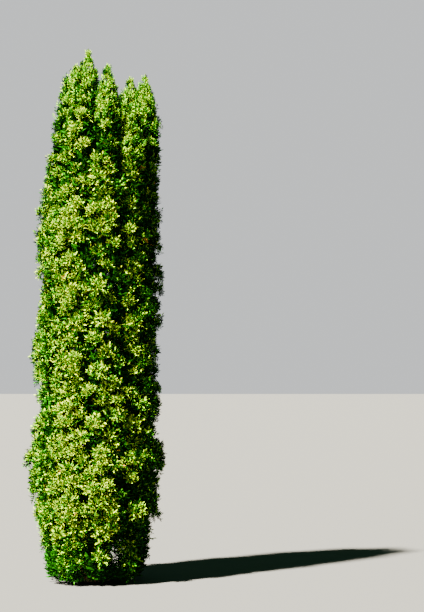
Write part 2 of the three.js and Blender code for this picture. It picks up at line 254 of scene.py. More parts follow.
def plain_tube(sides, cuts):
    """A closed tube of radius 1 that runs from half a unit below the origin to half a unit above it."""
    tube = bmesh.new()
    bmesh.ops.create_cone(tube, cap_ends=True, segments=sides, radius1=1, radius2=1, depth=1)
    long_edges = [edge for edge in tube.edges if abs(edge.verts[0].co.z - edge.verts[1].co.z) > 0.5]
    bmesh.ops.subdivide_edges(tube, edges=long_edges, cuts=cuts, use_grid_fill=True)
    return tube


TRUNK_SIDES = 72
TRUNK_RINGS = 150
RINGS_CLOSER_BELOW = 1.35


def bark_shell(stem, sides, rings):
    """A closed tube that follows a stem's taper and carries the relief of its bark."""
    shell = plain_tube(sides, rings)
    wood_length = stem["top"] - WOOD_SHORT_OF_TIP - stem["fork"]
    for vert in shell.verts:
        share = (vert.co.z + 0.5) ** RINGS_CLOSER_BELOW
        height = stem["fork"] + wood_length * share
        angle = math.atan2(vert.co.y, vert.co.x)
        radius = wood_radius(stem, height, angle)
        radius += strip_relief(angle, height, radius) * min(radius / SIDE_RADIUS, 1)
        middle = stem_at(stem, height)
        vert.co = (middle[0] + radius * math.cos(angle), middle[1] + radius * math.sin(angle), height)
    for face in shell.faces:
        between_rings = len(face.verts) == 4
        face.smooth = between_rings
    mesh_data = bpy.data.meshes.new(stem["name"] + "_bark")
    shell.to_mesh(mesh_data)
    shell.free()
    return mesh_data


# Weathered arborvitae bark: matt, grey on the outer strips, red-brown in the furrows between them.
# The strips are 20 mm wide and run for some 260 mm, and their fibres are about 2 mm apart.
BARK_COLOUR = "#6E5645"
FURROW_COLOUR = "#4A2F22"
FURROW_UP_TO = 0.3
GROWN_COLOUR = "#75563F"
GROWN_AT = 0.5
CREST_COLOUR = "#A39382"
CREST_FROM = 0.75
FIBRE_SPACING = 0.002
FIBRE_LENGTH = 0.05

weathered_bark = new_material("weathered_strip_bark", BARK_COLOUR, roughness=0.92)
bark_tree = weathered_bark.node_tree
bark_shader = bark_tree.nodes["Principled BSDF"]
bark_place = add_node(bark_tree, "ShaderNodeTexCoord")
strip_place = add_node(
    bark_tree, "ShaderNodeMapping",
    values={"Scale": (1 / STRIP_WIDTH, 1 / STRIP_WIDTH, 1 / STRIP_LENGTH)},
    links={"Vector": (bark_place, "Object")},
)
strip_pattern = add_node(
    bark_tree, "ShaderNodeTexNoise", values={"Scale": 1.0, "Detail": 4.0, "Roughness": 0.6},
    links={"Vector": (strip_place, "Vector")},
)
fibre_place = add_node(
    bark_tree, "ShaderNodeMapping",
    values={"Scale": (1 / FIBRE_SPACING, 1 / FIBRE_SPACING, 1 / FIBRE_LENGTH)},
    links={"Vector": (bark_place, "Object")},
)
fibre_pattern = add_node(
    bark_tree, "ShaderNodeTexNoise", values={"Scale": 1.0, "Detail": 2.0},
    links={"Vector": (fibre_place, "Vector")},
)
bark_colours = add_node(bark_tree, "ShaderNodeValToRGB", links={"Fac": (strip_pattern, "Fac")})
furrow, crest = bark_colours.color_ramp.elements
furrow.position = FURROW_UP_TO
furrow.color = linear(FURROW_COLOUR)
crest.position = CREST_FROM
crest.color = linear(CREST_COLOUR)
grown = bark_colours.color_ramp.elements.new(GROWN_AT)
grown.color = linear(GROWN_COLOUR)
fibre_shade = add_node(
    bark_tree, "ShaderNodeMix", data_type="RGBA", blend_type="MULTIPLY",
    values={"Factor": 0.35},
    links={6: (bark_colours, "Color"), 7: (fibre_pattern, "Color")},
)
bark_tree.links.new(fibre_shade.outputs[2], bark_shader.inputs["Base Color"])
fibre_bump = add_node(
    bark_tree, "ShaderNodeBump", values={"Strength": 0.5, "Distance": 0.001},
    links={"Height": (fibre_pattern, "Fac")},
)
bark_tree.links.new(fibre_bump.outputs["Normal"], bark_shader.inputs["Normal"])

trunk = object_of("trunk_bark", bark_shell(MAIN, TRUNK_SIDES, TRUNK_RINGS), weathered_bark)
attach(trunk, "root")
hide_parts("trunk")


# The six other stems.
# Upright limbs that leave the butt near the ground and run up side by side into tips of their own.
# They carry the same bark as the trunk.
STEM_SIDES = 24
STEM_RINGS = 100

for stem in STEMS[1:]:
    limb = object_of(f"stem_{stem['name']}_bark", bark_shell(stem, STEM_SIDES, STEM_RINGS), weathered_bark)
    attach(limb, "root")
    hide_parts(f"stem_{stem['name']}")


# The boughs.
# Thin living branches that rise from each stem to the outline of its foliage and end in a tuft.
# The first ones grow from the source's own buds, and side boughs branch off them wherever there is room.
FOOT_PULL_IN = 0.38

# The whole crown in one envelope, which lies round a ring of columns
CROWN = dict(middle=(0.010, 0.035), ring=0.268, top=4.38, reach=0.308, taper=0.490)


def spread_at(stem, height):
    """How far a stem's foliage spreads from its middle at a height."""
    below = np.maximum(stem["top"] - height, 0)
    lack = np.maximum(1 - height / FOOT_HEIGHT, 0)
    return stem["reach"] * below / (below + stem["taper"]) * (1 - FOOT_PULL_IN * lack * lack)


def crown_at(stem, height, angle):
    """How far it is from a stem's middle to the outline of the whole crown in one direction."""
    radius = CROWN["ring"] + spread_at(CROWN, height)
    off = column_at(stem, height) - CROWN["middle"]
    along = off[0] * math.cos(angle) + off[1] * math.sin(angle)
    return math.sqrt(max(along * along - off @ off + radius * radius, 0)) - along


LUMP_SHARE = 0.05
LUMP_HEIGHT = 0.56
LUMPS_AROUND = 3

# Low down the masses close up into one crown, and high up each stem's tip stands free
CLOSED_BELOW = 2.5
OPEN_ABOVE = 3.7

# Where the outline swells, or where it sinks in. A side of 0 is the right, 90 the back and 180 the left.
SWELLINGS = [
    dict(side=180, height=4.240, out=0.034, spread=0.120),
    dict(side=180, height=3.650, out=0.030, spread=0.130),
    dict(side=180, height=3.120, out=0.052, spread=0.200),
    dict(side=180, height=2.470, out=-0.034, spread=0.130),
    dict(side=180, height=1.960, out=0.048, spread=0.120),
    dict(side=180, height=1.620, out=-0.090, spread=0.110),
    dict(side=180, height=1.000, out=0.054, spread=0.150),
    dict(side=180, height=0.420, out=-0.090, spread=0.110),
    dict(side=180, height=0.270, out=-0.080, spread=0.100),
    dict(side=0, height=3.650, out=0.024, spread=0.130),
    dict(side=0, height=3.200, out=-0.010, spread=0.150),
    dict(side=0, height=2.400, out=0.058, spread=0.360),
    dict(side=0, height=1.380, out=0.024, spread=0.100),
    dict(side=0, height=1.200, out=-0.010, spread=0.070),
    dict(side=0, height=1.075, out=0.076, spread=0.115),
    dict(side=0, height=0.680, out=0.040, spread=0.090),
    dict(side=0, height=0.420, out=-0.110, spread=0.120),
    dict(side=0, height=0.120, out=-0.090, spread=0.190),
    dict(side=250, height=0.760, out=0.030, spread=0.160),
    dict(side=300, height=1.650, out=0.026, spread=0.180),
]


def outline_at(stem, height, angle):
    """A stem's own outline in one direction, with its lumps, swellings and dents."""
    wave = math.sin(LUMPS_AROUND * angle + 2 * math.pi * height / LUMP_HEIGHT + stem["seed"])
    own = spread_at(stem, height)
    closed = 1 - ease((height - CLOSED_BELOW) / (OPEN_ABOVE - CLOSED_BELOW))
    wider = max(crown_at(stem, height, angle) - own, 0)
    out = (own + closed * wider) * (1 + LUMP_SHARE * wave)
    for swelling in SWELLINGS:
        facing = max(math.cos(angle - math.radians(swelling["side"])), 0)
        near = math.exp(-(((height - swelling["height"]) / swelling["spread"]) ** 2))
        out += swelling["out"] * near * facing ** 3
    return out


# Two neighbours share what lies between them by their spreads, with a small gap left free. A neighbour
# that stands beside the direction looked in sets no limit there.
TIP_ROOM = 0.06
CELL_GAP = 0.007
JUST_BELOW_TOP = 0.001
BESIDE = 0.01


def space_at(stem, height, angle):
    """How far a stem's own space runs in one direction before a neighbour's begins."""
    height = min(height, stem["top"] - JUST_BELOW_TOP)
    middle = column_at(stem, height)
    own = spread_at(stem, height) + TIP_ROOM
    direction = np.array((math.cos(angle), math.sin(angle)))
    far = math.inf
    for other in STEMS:
        if other is stem or other["top"] <= height:
            continue
        across = column_at(other, height) - middle
        share = own / (own + spread_at(other, height) + TIP_ROOM)
        towards = direction @ across / np.linalg.norm(across)
        if towards > BESIDE:
            far = min(far, (share * np.linalg.norm(across) - CELL_GAP) / towards)
    return far


LIFT_FOOT = 0.05
LIFT_MIDDLE = 1.05
LIFT_MIDDLE_FROM = 0.7
LIFT_TIP = 1.45
LIFT_TIP_LENGTH = 0.65


def lift_at(stem, height):
    """How steeply growth rises at a height: flat at the foot, nearly upright at the tip."""
    low = LIFT_FOOT + (LIFT_MIDDLE - LIFT_FOOT) * ease(height / LIFT_MIDDLE_FROM)
    below = ease((stem["top"] - height) / LIFT_TIP_LENGTH)
    return LIFT_TIP + (low - LIFT_TIP) * below


TIERS = ("foot", "lower", "upper", "crown")
TIER_STARTS = (0.0, 0.85, 1.9, 2.9)
TIER_SLOPE = 1.3


def tier_of(stem, point):
    """The tier of a stem's foliage that a point lies in. Further out a tier starts higher up."""
    away = point[:2] - column_at(stem, min(point[2], stem["top"]))
    step = stem["step"] + TIER_SLOPE * np.linalg.norm(away)
    return int(sum(point[2] > start + step for start in TIER_STARTS[1:]))


def draws_from(seed):
    """A run of random numbers from 0 to 1, the same on every run and in the source."""
    whole = 0xFFFFFFFF
    state = seed
    while True:
        state = (state + 0x6D2B79F5) & whole
        mixed = ((state ^ (state >> 15)) * (1 | state)) & whole
        mixed = ((mixed + (((mixed ^ (mixed >> 7)) * (61 | mixed)) & whole)) ^ mixed) & whole
        yield (mixed ^ (mixed >> 14)) / (whole + 1)


def between(limits, drawn):
    """A value between two limits, for a draw from 0 to 1."""
    return limits[0] + (limits[1] - limits[0]) * drawn


GOLDEN_ANGLE = math.pi * (3 - math.sqrt(5))
GROUND_GAP = 0.018
FIRST_BUD = 0.04
BUD_RISE_MOST = 0.36
LEAST_OUT = 0.001
DRAWS_FOR_A_BUD = 3
MIDDLING = 0.5


def buds_on(stem, spacing):
    """Buds up a stem, each turned on by the golden angle and evenly spaced over the outline."""
    draw = draws_from(stem["seed"])
    height = GROUND_GAP + FIRST_BUD
    number = 0
    while height < stem["top"]:
        yield height, number * GOLDEN_ANGLE + stem["seed"], [next(draw) for _ in range(DRAWS_FOR_A_BUD)]
        even = spacing ** 2 / (2 * math.pi * max(spread_at(stem, height), LEAST_OUT))
        height += min(even, BUD_RISE_MOST * spacing)
        number += 1
    yield stem["top"], stem["seed"], [MIDDLING] * DRAWS_FOR_A_BUD


TUFT_RADIUS = (0.062, 0.104)
TUFT_LIFT_SHARE = 0.6
TUFT_SET_BACK = 0.065
TUFT_UNDERSIDE = 0.7
SLIM_SPREAD = 0.17
SLIM_LEAST = 0.5
GROOVE_DEPTH = (0.02, 0.075)
GROOVE_FROM = 1.25
GROOVE_TO = 0.7
UP = np.array((0.0, 0.0, 1.0))


def new_bough(stem, height, angle, draws, main, room_here):
    """A bough from its bud's place on the outline, with the tuft that it ends in.

    Tufts are slimmer near a tip. They sit back by chance, and where two stems' foliage meets in a groove.
    """
    topmost = height >= stem["top"]
    slim = min(max(float(spread_at(stem, height)) / SLIM_SPREAD, SLIM_LEAST), 1.0)
    radius = slim * between(TUFT_RADIUS, draws[0])
    lift = float(lift_at(stem, height))
    tuft_lift = math.pi / 2 if topmost else lift * TUFT_LIFT_SHARE
    radial = np.array((math.cos(angle), math.sin(angle), 0.0))
    axis = radial * math.cos(tuft_lift) + UP * math.sin(tuft_lift)
    middle = np.array((*column_at(stem, height), height))
    outline = outline_at(stem, height, angle)
    groove = ease((GROOVE_FROM - room_here / max(outline, LEAST_OUT)) / (GROOVE_FROM - GROOVE_TO)) * slim
    depth = GROOVE_DEPTH[0] + (GROOVE_DEPTH[1] - GROOVE_DEPTH[0]) * height / stem["top"]
    back = TUFT_SET_BACK * slim ** 3 * draws[1] ** 2 + depth * groove
    face = middle + radial * (outline - back)
    centre = (middle if topmost else face) - axis * radius
    centre[2] = max(centre[2], GROUND_GAP + TUFT_UNDERSIDE * radius)
    return dict(
        stem=stem, height=height, topmost=topmost, main=main, draws=draws, slim=slim, lift=lift, back=back,
        radial=radial, axis=axis, face=face, centre=centre, radius=radius, tier=tier_of(stem, centre),
    )


BOUGH_LOWEST_START = 0.10
BOUGH_RISE_SHARE = 0.7
BOUGH_SHORT_OF_CENTRE = 0.5
BEND_OUT = 0.65
BEND_UP = 0.25
SIDE_BOUGH_LEAVES_AT = 0.5


def bough_path(bough, share):
    """Points along a bough, which leaves its limb outwards and bends up to its tuft."""
    share = np.asarray(share, float)[..., None]
    start, bend, end = bough["start"], bough["bend"], bough["end"]
    return start * (1 - share) ** 2 + bend * 2 * share * (1 - share) + end * share ** 2


def root_bough(bough, limbs):
    """Where a bough starts: the stem itself, or for a side bough the nearest main bough."""
    stem = bough["stem"]
    end = bough["centre"] - bough["axis"] * BOUGH_SHORT_OF_CENTRE * bough["radius"]
    if bough["main"] or not limbs:
        out = np.linalg.norm(end[:2] - column_at(stem, end[2]))
        low = end[2] - out * math.tan(min(bough["lift"], LIFT_MIDDLE)) * BOUGH_RISE_SHARE
        top = stem["top"] - WOOD_SHORT_OF_TIP
        low = min(max(low, stem["fork"] + BOUGH_LOWEST_START), top)
        start = np.array((*stem_at(stem, low), low))
    else:
        nearest = min(limbs, key=lambda limb: np.linalg.norm(limb["end"] - end))
        start = bough_path(nearest, SIDE_BOUGH_LEAVES_AT)
    bend = start * (1 - BEND_OUT) + end * BEND_OUT
    bend[2] = start[2] + BEND_UP * (end[2] - start[2])
    bough.update(start=start, bend=bend, end=end)


THIN_ACROSS = (0.07, 0.34)
THIN_UP = (0.09, 0.30)
THIN_KEPT = 0.35


def thin_at(point):
    """Whether a point is at the right of the foot, where the growth is so thin that light falls through."""
    return THIN_ACROSS[0] < point[0] < THIN_ACROSS[1] and THIN_UP[0] < point[2] < THIN_UP[1]


MAIN_BUD_SPACING = 0.178
SIDE_BUD_SPACING = 0.070
HIDDEN_SHARE = 0.62
TUFT_CLOSENESS = 0.62
MOST_BOUGHS = 6000

# A bud grows where it isn't deep inside a neighbour's foliage and where no tuft before it is too near
boughs = []
faces_taken = np.zeros((MOST_BOUGHS, 3))
radii_taken = np.zeros(MOST_BOUGHS)
for main, spacing in ((True, MAIN_BUD_SPACING), (False, SIDE_BUD_SPACING)):
    for stem in STEMS:
        for height, angle, draws in buds_on(stem, spacing):
            room_here = space_at(stem, height, angle)
            if room_here < HIDDEN_SHARE * outline_at(stem, height, angle):
                continue
            bough = new_bough(stem, height, angle, draws, main, room_here)
            if thin_at(bough["centre"]) and draws[2] > THIN_KEPT:
                continue
            gaps = np.linalg.norm(faces_taken[:len(boughs)] - bough["face"], axis=1)
            needed = TUFT_CLOSENESS * (radii_taken[:len(boughs)] + bough["radius"]) * bough["slim"] ** 0.5
            if np.any(gaps < needed):
                continue
            faces_taken[len(boughs)] = bough["face"]
            radii_taken[len(boughs)] = bough["radius"]
            boughs.append(bough)
for stem in STEMS:
    main_boughs = [bough for bough in boughs if bough["stem"] is stem and bough["main"]]
    side_boughs = [bough for bough in boughs if bough["stem"] is stem and not bough["main"]]
    for bough in main_boughs:
        root_bough(bough, [])
    for bough in side_boughs:
        root_bough(bough, main_boughs)


def arrays_of(shape):
    """The vertices and the triangles of a small pattern shape, to join copies of it."""
    bmesh.ops.triangulate(shape, faces=shape.faces)
    shape.verts.index_update()
    points = np.array([vert.co for vert in shape.verts])
    corners = np.array([[vert.index for vert in face.verts] for face in shape.faces])
    shape.free()
    return points, corners


def joined_mesh(name, points, corners, greens=None):
    """Copies of a pattern shape as one mesh: points is copies by vertices by 3."""
    copies, count = points.shape[:2]
    every = (corners[None] + count * np.arange(copies)[:, None, None]).reshape(-1, 3)
    mesh_data = bpy.data.meshes.new(name)
    mesh_data.vertices.add(copies * count)
    mesh_data.vertices.foreach_set("co", points.astype(np.float32).ravel())
    mesh_data.loops.add(every.size)
    mesh_data.loops.foreach_set("vertex_index", every.astype(np.int32).ravel())
    mesh_data.polygons.add(len(every))
    mesh_data.polygons.foreach_set("loop_start", np.arange(0, every.size, 3, dtype=np.int32))
    if greens is not None:
        mesh_data.polygons.foreach_set("material_index", greens.astype(np.int32).ravel())
    mesh_data.update(calc_edges=True)
    return mesh_data


STEEP = 0.9


def square_to(direction):
    """Two unit vectors square to each direction and to each other."""
    guide = np.where(np.abs(direction[..., 2:]) < STEEP, (0.0, 0.0, 1.0), (1.0, 0.0, 0.0))
    side = np.cross(guide, direction)
    side /= np.linalg.norm(side, axis=-1, keepdims=True)
    return side, np.cross(direction, side)


BOUGH_SIDES = 5
BOUGH_CUTS = 3
MAIN_BOUGH_RADIUS = 0.0065
SIDE_BOUGH_RADIUS = 0.0035
BOUGH_TIP_RADIUS = 0.0018
PATH_STEP = 0.01

# Young arborvitae bark: smooth, thin and dull, and deep in the shade of the foliage an even brown
young_bark = new_material("smooth_young_bark", "#4A3320", roughness=0.7, shine=0.1)

bough_points, bough_corners = arrays_of(plain_tube(BOUGH_SIDES, BOUGH_CUTS))
for stem in STEMS:
    own = [bough for bough in boughs if bough["stem"] is stem]
    share = bough_points[:, 2] + 0.5
    paths = np.array([bough_path(bough, share) for bough in own])
    steps = np.array([bough_path(b, share + PATH_STEP) - bough_path(b, share - PATH_STEP) for b in own])
    steps /= np.linalg.norm(steps, axis=-1, keepdims=True)
    side, other = square_to(steps)
    foot_radius = np.array([MAIN_BOUGH_RADIUS if b["main"] else SIDE_BOUGH_RADIUS for b in own])
    radius = foot_radius[:, None] + (BOUGH_TIP_RADIUS - foot_radius[:, None]) * share
    around = side * bough_points[:, :1] + other * bough_points[:, 1:2]
    tubes = paths + around * radius[..., None]
    piece = object_of(f"boughs_{stem['name']}", joined_mesh("boughs", tubes, bough_corners), young_bark)
    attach(piece, "root")
    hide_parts(*[f"foliage_{stem['name']}_{tier}" for tier in TIERS])


# The twigs.
# At its end each bough divides into short twigs that spread into a round tuft.
# They are green-brown shoots, 3 mm thick at their foot, each with a rosette of fans at its end.
TWIGS = 13
TWIGS_SLIM = 7
SLIM_BELOW = 0.8
TWIG_WIDEST = 1.7
TWIG_FIRST = 0.3
TWIG_END_SHARE = (0.2, 0.48)
TWIG_SIDES = 3
TWIG_RADIUS = 0.0016
TWIG_SEED = 5

# A whole turn, near enough for a start that is drawn at random
FULL_TURN = 6.28


def spread_round(axis, count, widest, turn, first):
    """Directions that fan out round an axis, each turned on by the golden angle."""
    number = np.arange(count)
    tilt = widest * np.sqrt((number + first) / count)
    around = number * GOLDEN_ANGLE + turn
    side, other = square_to(axis)
    ring = np.outer(np.cos(around), side) + np.outer(np.sin(around), other)
    return np.cos(tilt)[:, None] * axis + np.sin(tilt)[:, None] * ring


draw = draws_from(TWIG_SEED)
for bough in boughs:
    count = TWIGS if bough["slim"] > SLIM_BELOW else TWIGS_SLIM
    turn = bough["draws"][2] * FULL_TURN
    directions = spread_round(bough["axis"], count, TWIG_WIDEST, turn, TWIG_FIRST)
    shares = np.array([[between(TWIG_END_SHARE, next(draw))] for _ in directions])
    bough["twig_directions"] = directions
    bough["twig_ends"] = bough["centre"] + directions * bough["radius"] * shares

# Green shoots: the newest wood, still covered by pressed scale leaves that make it dull
green_shoot = new_material("green_shoot", "#3F5212", roughness=0.6, shine=0.1)

twig_shape = bmesh.new()
bmesh.ops.create_cone(twig_shape, cap_ends=True, segments=TWIG_SIDES, radius1=1, radius2=0, depth=1)
twig_points, twig_corners = arrays_of(twig_shape)
twig_points[:, 2] += 0.5
for stem in STEMS:
    own = [bough for bough in boughs if bough["stem"] is stem]
    ends = np.concatenate([bough["twig_ends"] for bough in own])
    starts = np.concatenate([np.repeat(b["end"][None], len(b["twig_ends"]), axis=0) for b in own])
    along = ends - starts
    side, other = square_to(along / np.linalg.norm(along, axis=1, keepdims=True))
    across = side[:, None] * twig_points[:, :1] + other[:, None] * twig_points[:, 1:2]
    tubes = starts[:, None] + along[:, None] * twig_points[:, 2:] + across * TWIG_RADIUS
    piece = object_of(f"twigs_{stem['name']}", joined_mesh("twigs", tubes, twig_corners), green_shoot)
    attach(piece, "root")
    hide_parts(*[f"foliage_{stem['name']}_{tier}" for tier in TIERS])


# The fans of scale leaves.
# Flat sprays of branchlets under tiny overlapping leaves, which stand in rosettes on the twigs.
# Each is drawn as seven fingers on a rib, wider than life, because single leaves are too small to show.

# Where the fingers leave the rib, and their angle, reach, width, curl and twist, in lengths of the fan.
# What varies does so by as much either way.
FINGER_PAIRS = 3
FINGER_FIRST_AT = 0.08
FINGER_STEP = 0.115
FINGER_ANGLE = 0.9
FINGER_ANGLE_CLOSES = 0.12
FINGER_ANGLE_VARIES = 0.15
FINGER_REACH = 0.58
FINGER_REACH_SHRINKS = 0.08
FINGER_REACH_VARIES = 0.07
END_FINGER_REACH = 0.4
FINGER_WIDTH = 0.155
FINGER_WIDEST_AT = 0.46
FINGER_CURL = 0.75
CURL_LEAST = 0.3
CURL_MORE = 0.9
CURL_BACK = 0.7
FINGER_TWIST = 0.75
TWIST_LEAST = 0.5
RIB_LENGTH = 0.8
RIB_WIDTH = 0.035
FAN_DROOP = 0.16
FAN_SIDE_DROOP = 1.5

# How steeply the halves of each kind of fan fold down, or up
FAN_FOLDS = (0.55, -0.45, 0.35, -0.6)

# How many greens deeper than its fan each finger is at its tip. The light fingers are painted highlights
# and the deep ones painted shade between them. Each finger's foot is one green deeper, and the rib deeper
# still, as painted shade towards the middle of the fan.
FINGER_PAINTED_SHADE = (0, 5, 0, 3, 1, 5, 0)
RIB_PAINTED_SHADE = 4
KIND_SEED = 101


def either_way(drawn):
    """A draw from 0 to 1 as one from -1 to 1."""
    return 2 * drawn - 1


def finger_on(fan, root, direction, length, curl, twist, deeper):
    """One finger: two facets that meet along its widest line, which is twisted. The outer one curls."""
    across = Vector((-direction.y * math.cos(twist), direction.x * math.cos(twist), math.sin(twist)))
    side = across * FINGER_WIDTH / 2
    waist = root + direction * length * FINGER_WIDEST_AT
    rest = length * (1 - FINGER_WIDEST_AT)
    end = waist + direction * rest * math.cos(curl) + Vector((0, 0, rest * math.sin(curl)))
    left, right = fan.verts.new(waist + side), fan.verts.new(waist - side)
    inner = fan.faces.new((fan.verts.new(root), right, left))
    outer = fan.faces.new((left, right, fan.verts.new(end)))
    # The inner facet is one green deeper than the outer, as painted shade towards the rib
    inner.material_index = deeper + 1
    outer.material_index = deeper


def fan_shape(kind):
    """The pattern of a fan, one unit long, and each facet's painted shade in greens deeper than its fan.

    Its rib is one facet. Three fingers on each side leave it in turn, and a seventh stands at its end.
    """
    draw = draws_from(KIND_SEED + kind)
    fan = bmesh.new()
    rib = [(0, RIB_WIDTH / 2, 0), (0, -RIB_WIDTH / 2, 0), (RIB_LENGTH, 0, 0)]
    fan.faces.new([fan.verts.new(corner) for corner in rib]).material_index = RIB_PAINTED_SHADE
    for number, deeper in enumerate(FINGER_PAINTED_SHADE):
        pair = number // 2
        at_end = pair == FINGER_PAIRS
        side = 0 if at_end else (-1) ** number
        varies = FINGER_ANGLE_VARIES * either_way(next(draw))
        angle = side * (FINGER_ANGLE - FINGER_ANGLE_CLOSES * pair + varies)
        reach = END_FINGER_REACH if at_end else FINGER_REACH - FINGER_REACH_SHRINKS * pair
        reach += FINGER_REACH_VARIES * either_way(next(draw))
        curl = FINGER_CURL * (CURL_LEAST + CURL_MORE * next(draw))
        curl *= 1 if (number + kind) % 3 else -CURL_BACK
        twist = FINGER_TWIST * (TWIST_LEAST + next(draw)) * (1 if number % 4 in (0, 3) else -1)
        root = Vector((FINGER_FIRST_AT + FINGER_STEP * number, 0, 0))
        direction = Vector((math.cos(angle), math.sin(angle), 0))
        finger_on(fan, root, direction, reach, curl, twist, deeper)
    for vert in fan.verts:
        droop = FAN_DROOP * (vert.co.x ** 2 + FAN_SIDE_DROOP * vert.co.y ** 2)
        vert.co.z -= droop + FAN_FOLDS[kind] * abs(vert.co.y)
    facets_deeper = np.array([face.material_index for face in fan.faces])
    points, corners = arrays_of(fan)
    return points, corners, facets_deeper


FAN_KINDS = len(FAN_FOLDS)
fan_patterns = [fan_shape(kind) for kind in range(FAN_KINDS)]

# Scale leaves: a thin bloom of wax makes them dull, with hardly any gloss, and none on the deeper ones.
# Each age has a plain green, and the deeper greens of the row also serve as painted shade where shade
# falls.
# The greens are dealt out facet by facet, so that they mottle.
LEAF_ROUGHNESS = 0.6
LEAF_GREENS = [
    dict(name="lime_tip_leaves", colour="#A2B400", shine=0.02),
    dict(name="fresh_leaves", colour="#92B000", shine=0.02),
    dict(name="summer_leaves", colour="#86A800", shine=0.02),
    dict(name="full_green_leaves", colour="#629400", shine=0.02),
    dict(name="deep_green_leaves", colour="#2C7000", shine=0.0),
    dict(name="painted_shade_leaves", colour="#0D4200", shine=0.0),
    dict(name="old_leaves_painted_shade", colour="#041E00", shine=0.0),
    dict(name="dead_brown_leaves", colour="#8A6414", shine=0.02),
]
leaf_materials = [new_material(roughness=LEAF_ROUGHNESS, **green) for green in LEAF_GREENS]
green_names = [green["name"] for green in LEAF_GREENS]
# The shade green is painted shade, and the deepest green is old dull leaves darkened further as painted
# shade
SHADE = green_names.index("painted_shade_leaves")
DEEPEST_PAINTED_SHADE = green_names.index("old_leaves_painted_shade")
DEAD = green_names.index("dead_brown_leaves")


def fans_mesh(name, fans):
    """Joins fans into one mesh.

    A fan is its root, heading, face, length, kind, turned, green and evenness. The last brings the greens
    of its facets nearer to each other.
    """
    roots, headings, normals, lengths, kinds, turned, greens, evenness = map(np.array, zip(*fans))
    across = np.cross(normals, headings) * turned[:, None]
    points, corners, slots = [], [], []
    start = 0
    for kind, (shape, faces, deeper) in enumerate(fan_patterns):
        chosen = kinds == kind
        u = headings[chosen][:, None] * shape[:, :1]
        v = across[chosen][:, None] * shape[:, 1:2]
        w = normals[chosen][:, None] * shape[:, 2:]
        made = roots[chosen][:, None] + (u + v + w) * lengths[chosen][:, None, None]
        count = len(made)
        step = len(shape) * np.arange(count)[:, None, None]
        points.append(made.reshape(-1, 3))
        corners.append((faces[None] + step).reshape(-1, 3) + start)
        # Each facet goes deeper by its painted shade, less on an even fan, down to the deepest painted
        # shade at most
        offsets = np.rint(deeper[None] * (1 - evenness[chosen][:, None])).astype(int)
        living = np.minimum(greens[chosen][:, None] + offsets, DEEPEST_PAINTED_SHADE)
        slots.append(np.where(greens[chosen][:, None] == DEAD, DEAD, living).ravel())
        start += count * len(shape)
    points, corners, slots = np.concatenate(points), np.concatenate(corners), np.concatenate(slots)
    return joined_mesh(name, points[None], corners, slots)


def unit(vectors):
    """Vectors made one long."""
    return vectors / np.linalg.norm(vectors, axis=-1, keepdims=True)


NEARLY_ALONG = 0.1


def face_of(heading, outward, roll):
    """Where a fan's upper side faces: outwards, square to its heading, and rolled about it."""
    outward = outward - heading * (outward @ heading)
    if np.linalg.norm(outward) < NEARLY_ALONG:
        outward = square_to(heading)[0]
    outward = unit(outward)
    return outward * math.cos(roll) + np.cross(heading, outward) * math.sin(roll)


def green_at(place):
    """The green nearest to a place in their row, from the lime tips down to the shade leaves."""
    return int(min(max(round(place), 0), SHADE))


# Painted shade: how many greens deeper the leaves are dealt away from the sun, at the foot, on the left
# flank and in set-back tufts. Around 1.6 m up, painted sunlight reaches further round.
SUNLIT_PLACE = 0.05
TIP_DEEPER = 1.6
AWAY_PAINTED_SHADE = 3.2
AWAY_LESS_AT_TIP = 2.4
FOOT_PAINTED_SHADE = 4.4
SET_BACK_PAINTED_SHADE = 10
BOUGHS_VARY = 0.25
FLANK_PAINTED_SHADE = 6.5
SHADE_SIDE = np.array((0.84, 0.54, 0.0))
SHADE_FROM = 0.45
SHADE_GROWTH = 2.2
SUNNY_HEIGHT = 1.6
SUNNY_SPREAD = 0.55
SUNNY_SHARE = 0.5
BACK_LIGHTER = 0.5
BACK_FROM = 0.15
BACK_FULL_AFTER = 0.5
DEEP_FOOT_HEIGHT = 0.4
FLANK_FROM = 0.6


def place_of(bough, tip_share):
    """Where a bough's leaves stand in the row of greens, from 0 for the lightest.

    They are deeper on the side away from the sun as painted shade, less so at the back, towards the tips
    and about 1.6 m up. Painted shade also deepens them at the foot, on the left flank and where the tuft is
    set back. They are deeper at the tips too.
    """
    radial, height = bough["radial"], bough["centre"][2]
    sunny = SUNNY_SHARE * math.exp(-(((height - SUNNY_HEIGHT) / SUNNY_SPREAD) ** 2))
    away = ease(SHADE_FROM - sunny + SHADE_GROWTH * (radial @ SHADE_SIDE))
    away *= 1 - BACK_LIGHTER * ease((radial[1] - BACK_FROM) / BACK_FULL_AFTER)
    place = SUNLIT_PLACE + TIP_DEEPER * tip_share
    place += (AWAY_PAINTED_SHADE - AWAY_LESS_AT_TIP * tip_share) * away
    place += FOOT_PAINTED_SHADE * max(1 - height / DEEP_FOOT_HEIGHT, 0)
    place += SET_BACK_PAINTED_SHADE * bough["back"]
    place += BOUGHS_VARY * either_way(bough["draws"][0])
    return place + FLANK_PAINTED_SHADE * max(-radial[0] - FLANK_FROM, 0)


FAN_SEED = 7
FANS_ON_TWIG = 4
FAN_FORWARD = 0.15
FAN_WIDEST = 1.2
FAN_UPWARD = 0.4
TIP_UPWARD = 1.3
TIP_LENGTH = 0.9
FAN_LENGTH_SHARE = (0.55, 0.92)
FAN_SHORTEST = 0.35
FAN_ROLL = 1.0
FAN_TIP_AT = 1.15
FAN_SIDE_REACH = 0.35
FAN_GROUND_GAP = 0.002
FAN_PAST = 0.014
TIP_PAST = 0.02
LEAST_OUTWARD = 0.1
EVEN_CHANCE = 0.5
HANGING_BELOW = -0.1
HANGING_PAINTED_SHADE = 0.9
OUTER_DEEPER = 0.4
FANS_VARY = 1.8
FANS_VARY_LESS_AT_TIP = 1.0
DEAD_CHANCE = 0.002
OVERHUNG_CHANCE = 0.17
OVERHUNG_PAINTED_SHADE = 3
TIP_EVENNESS = 0.5
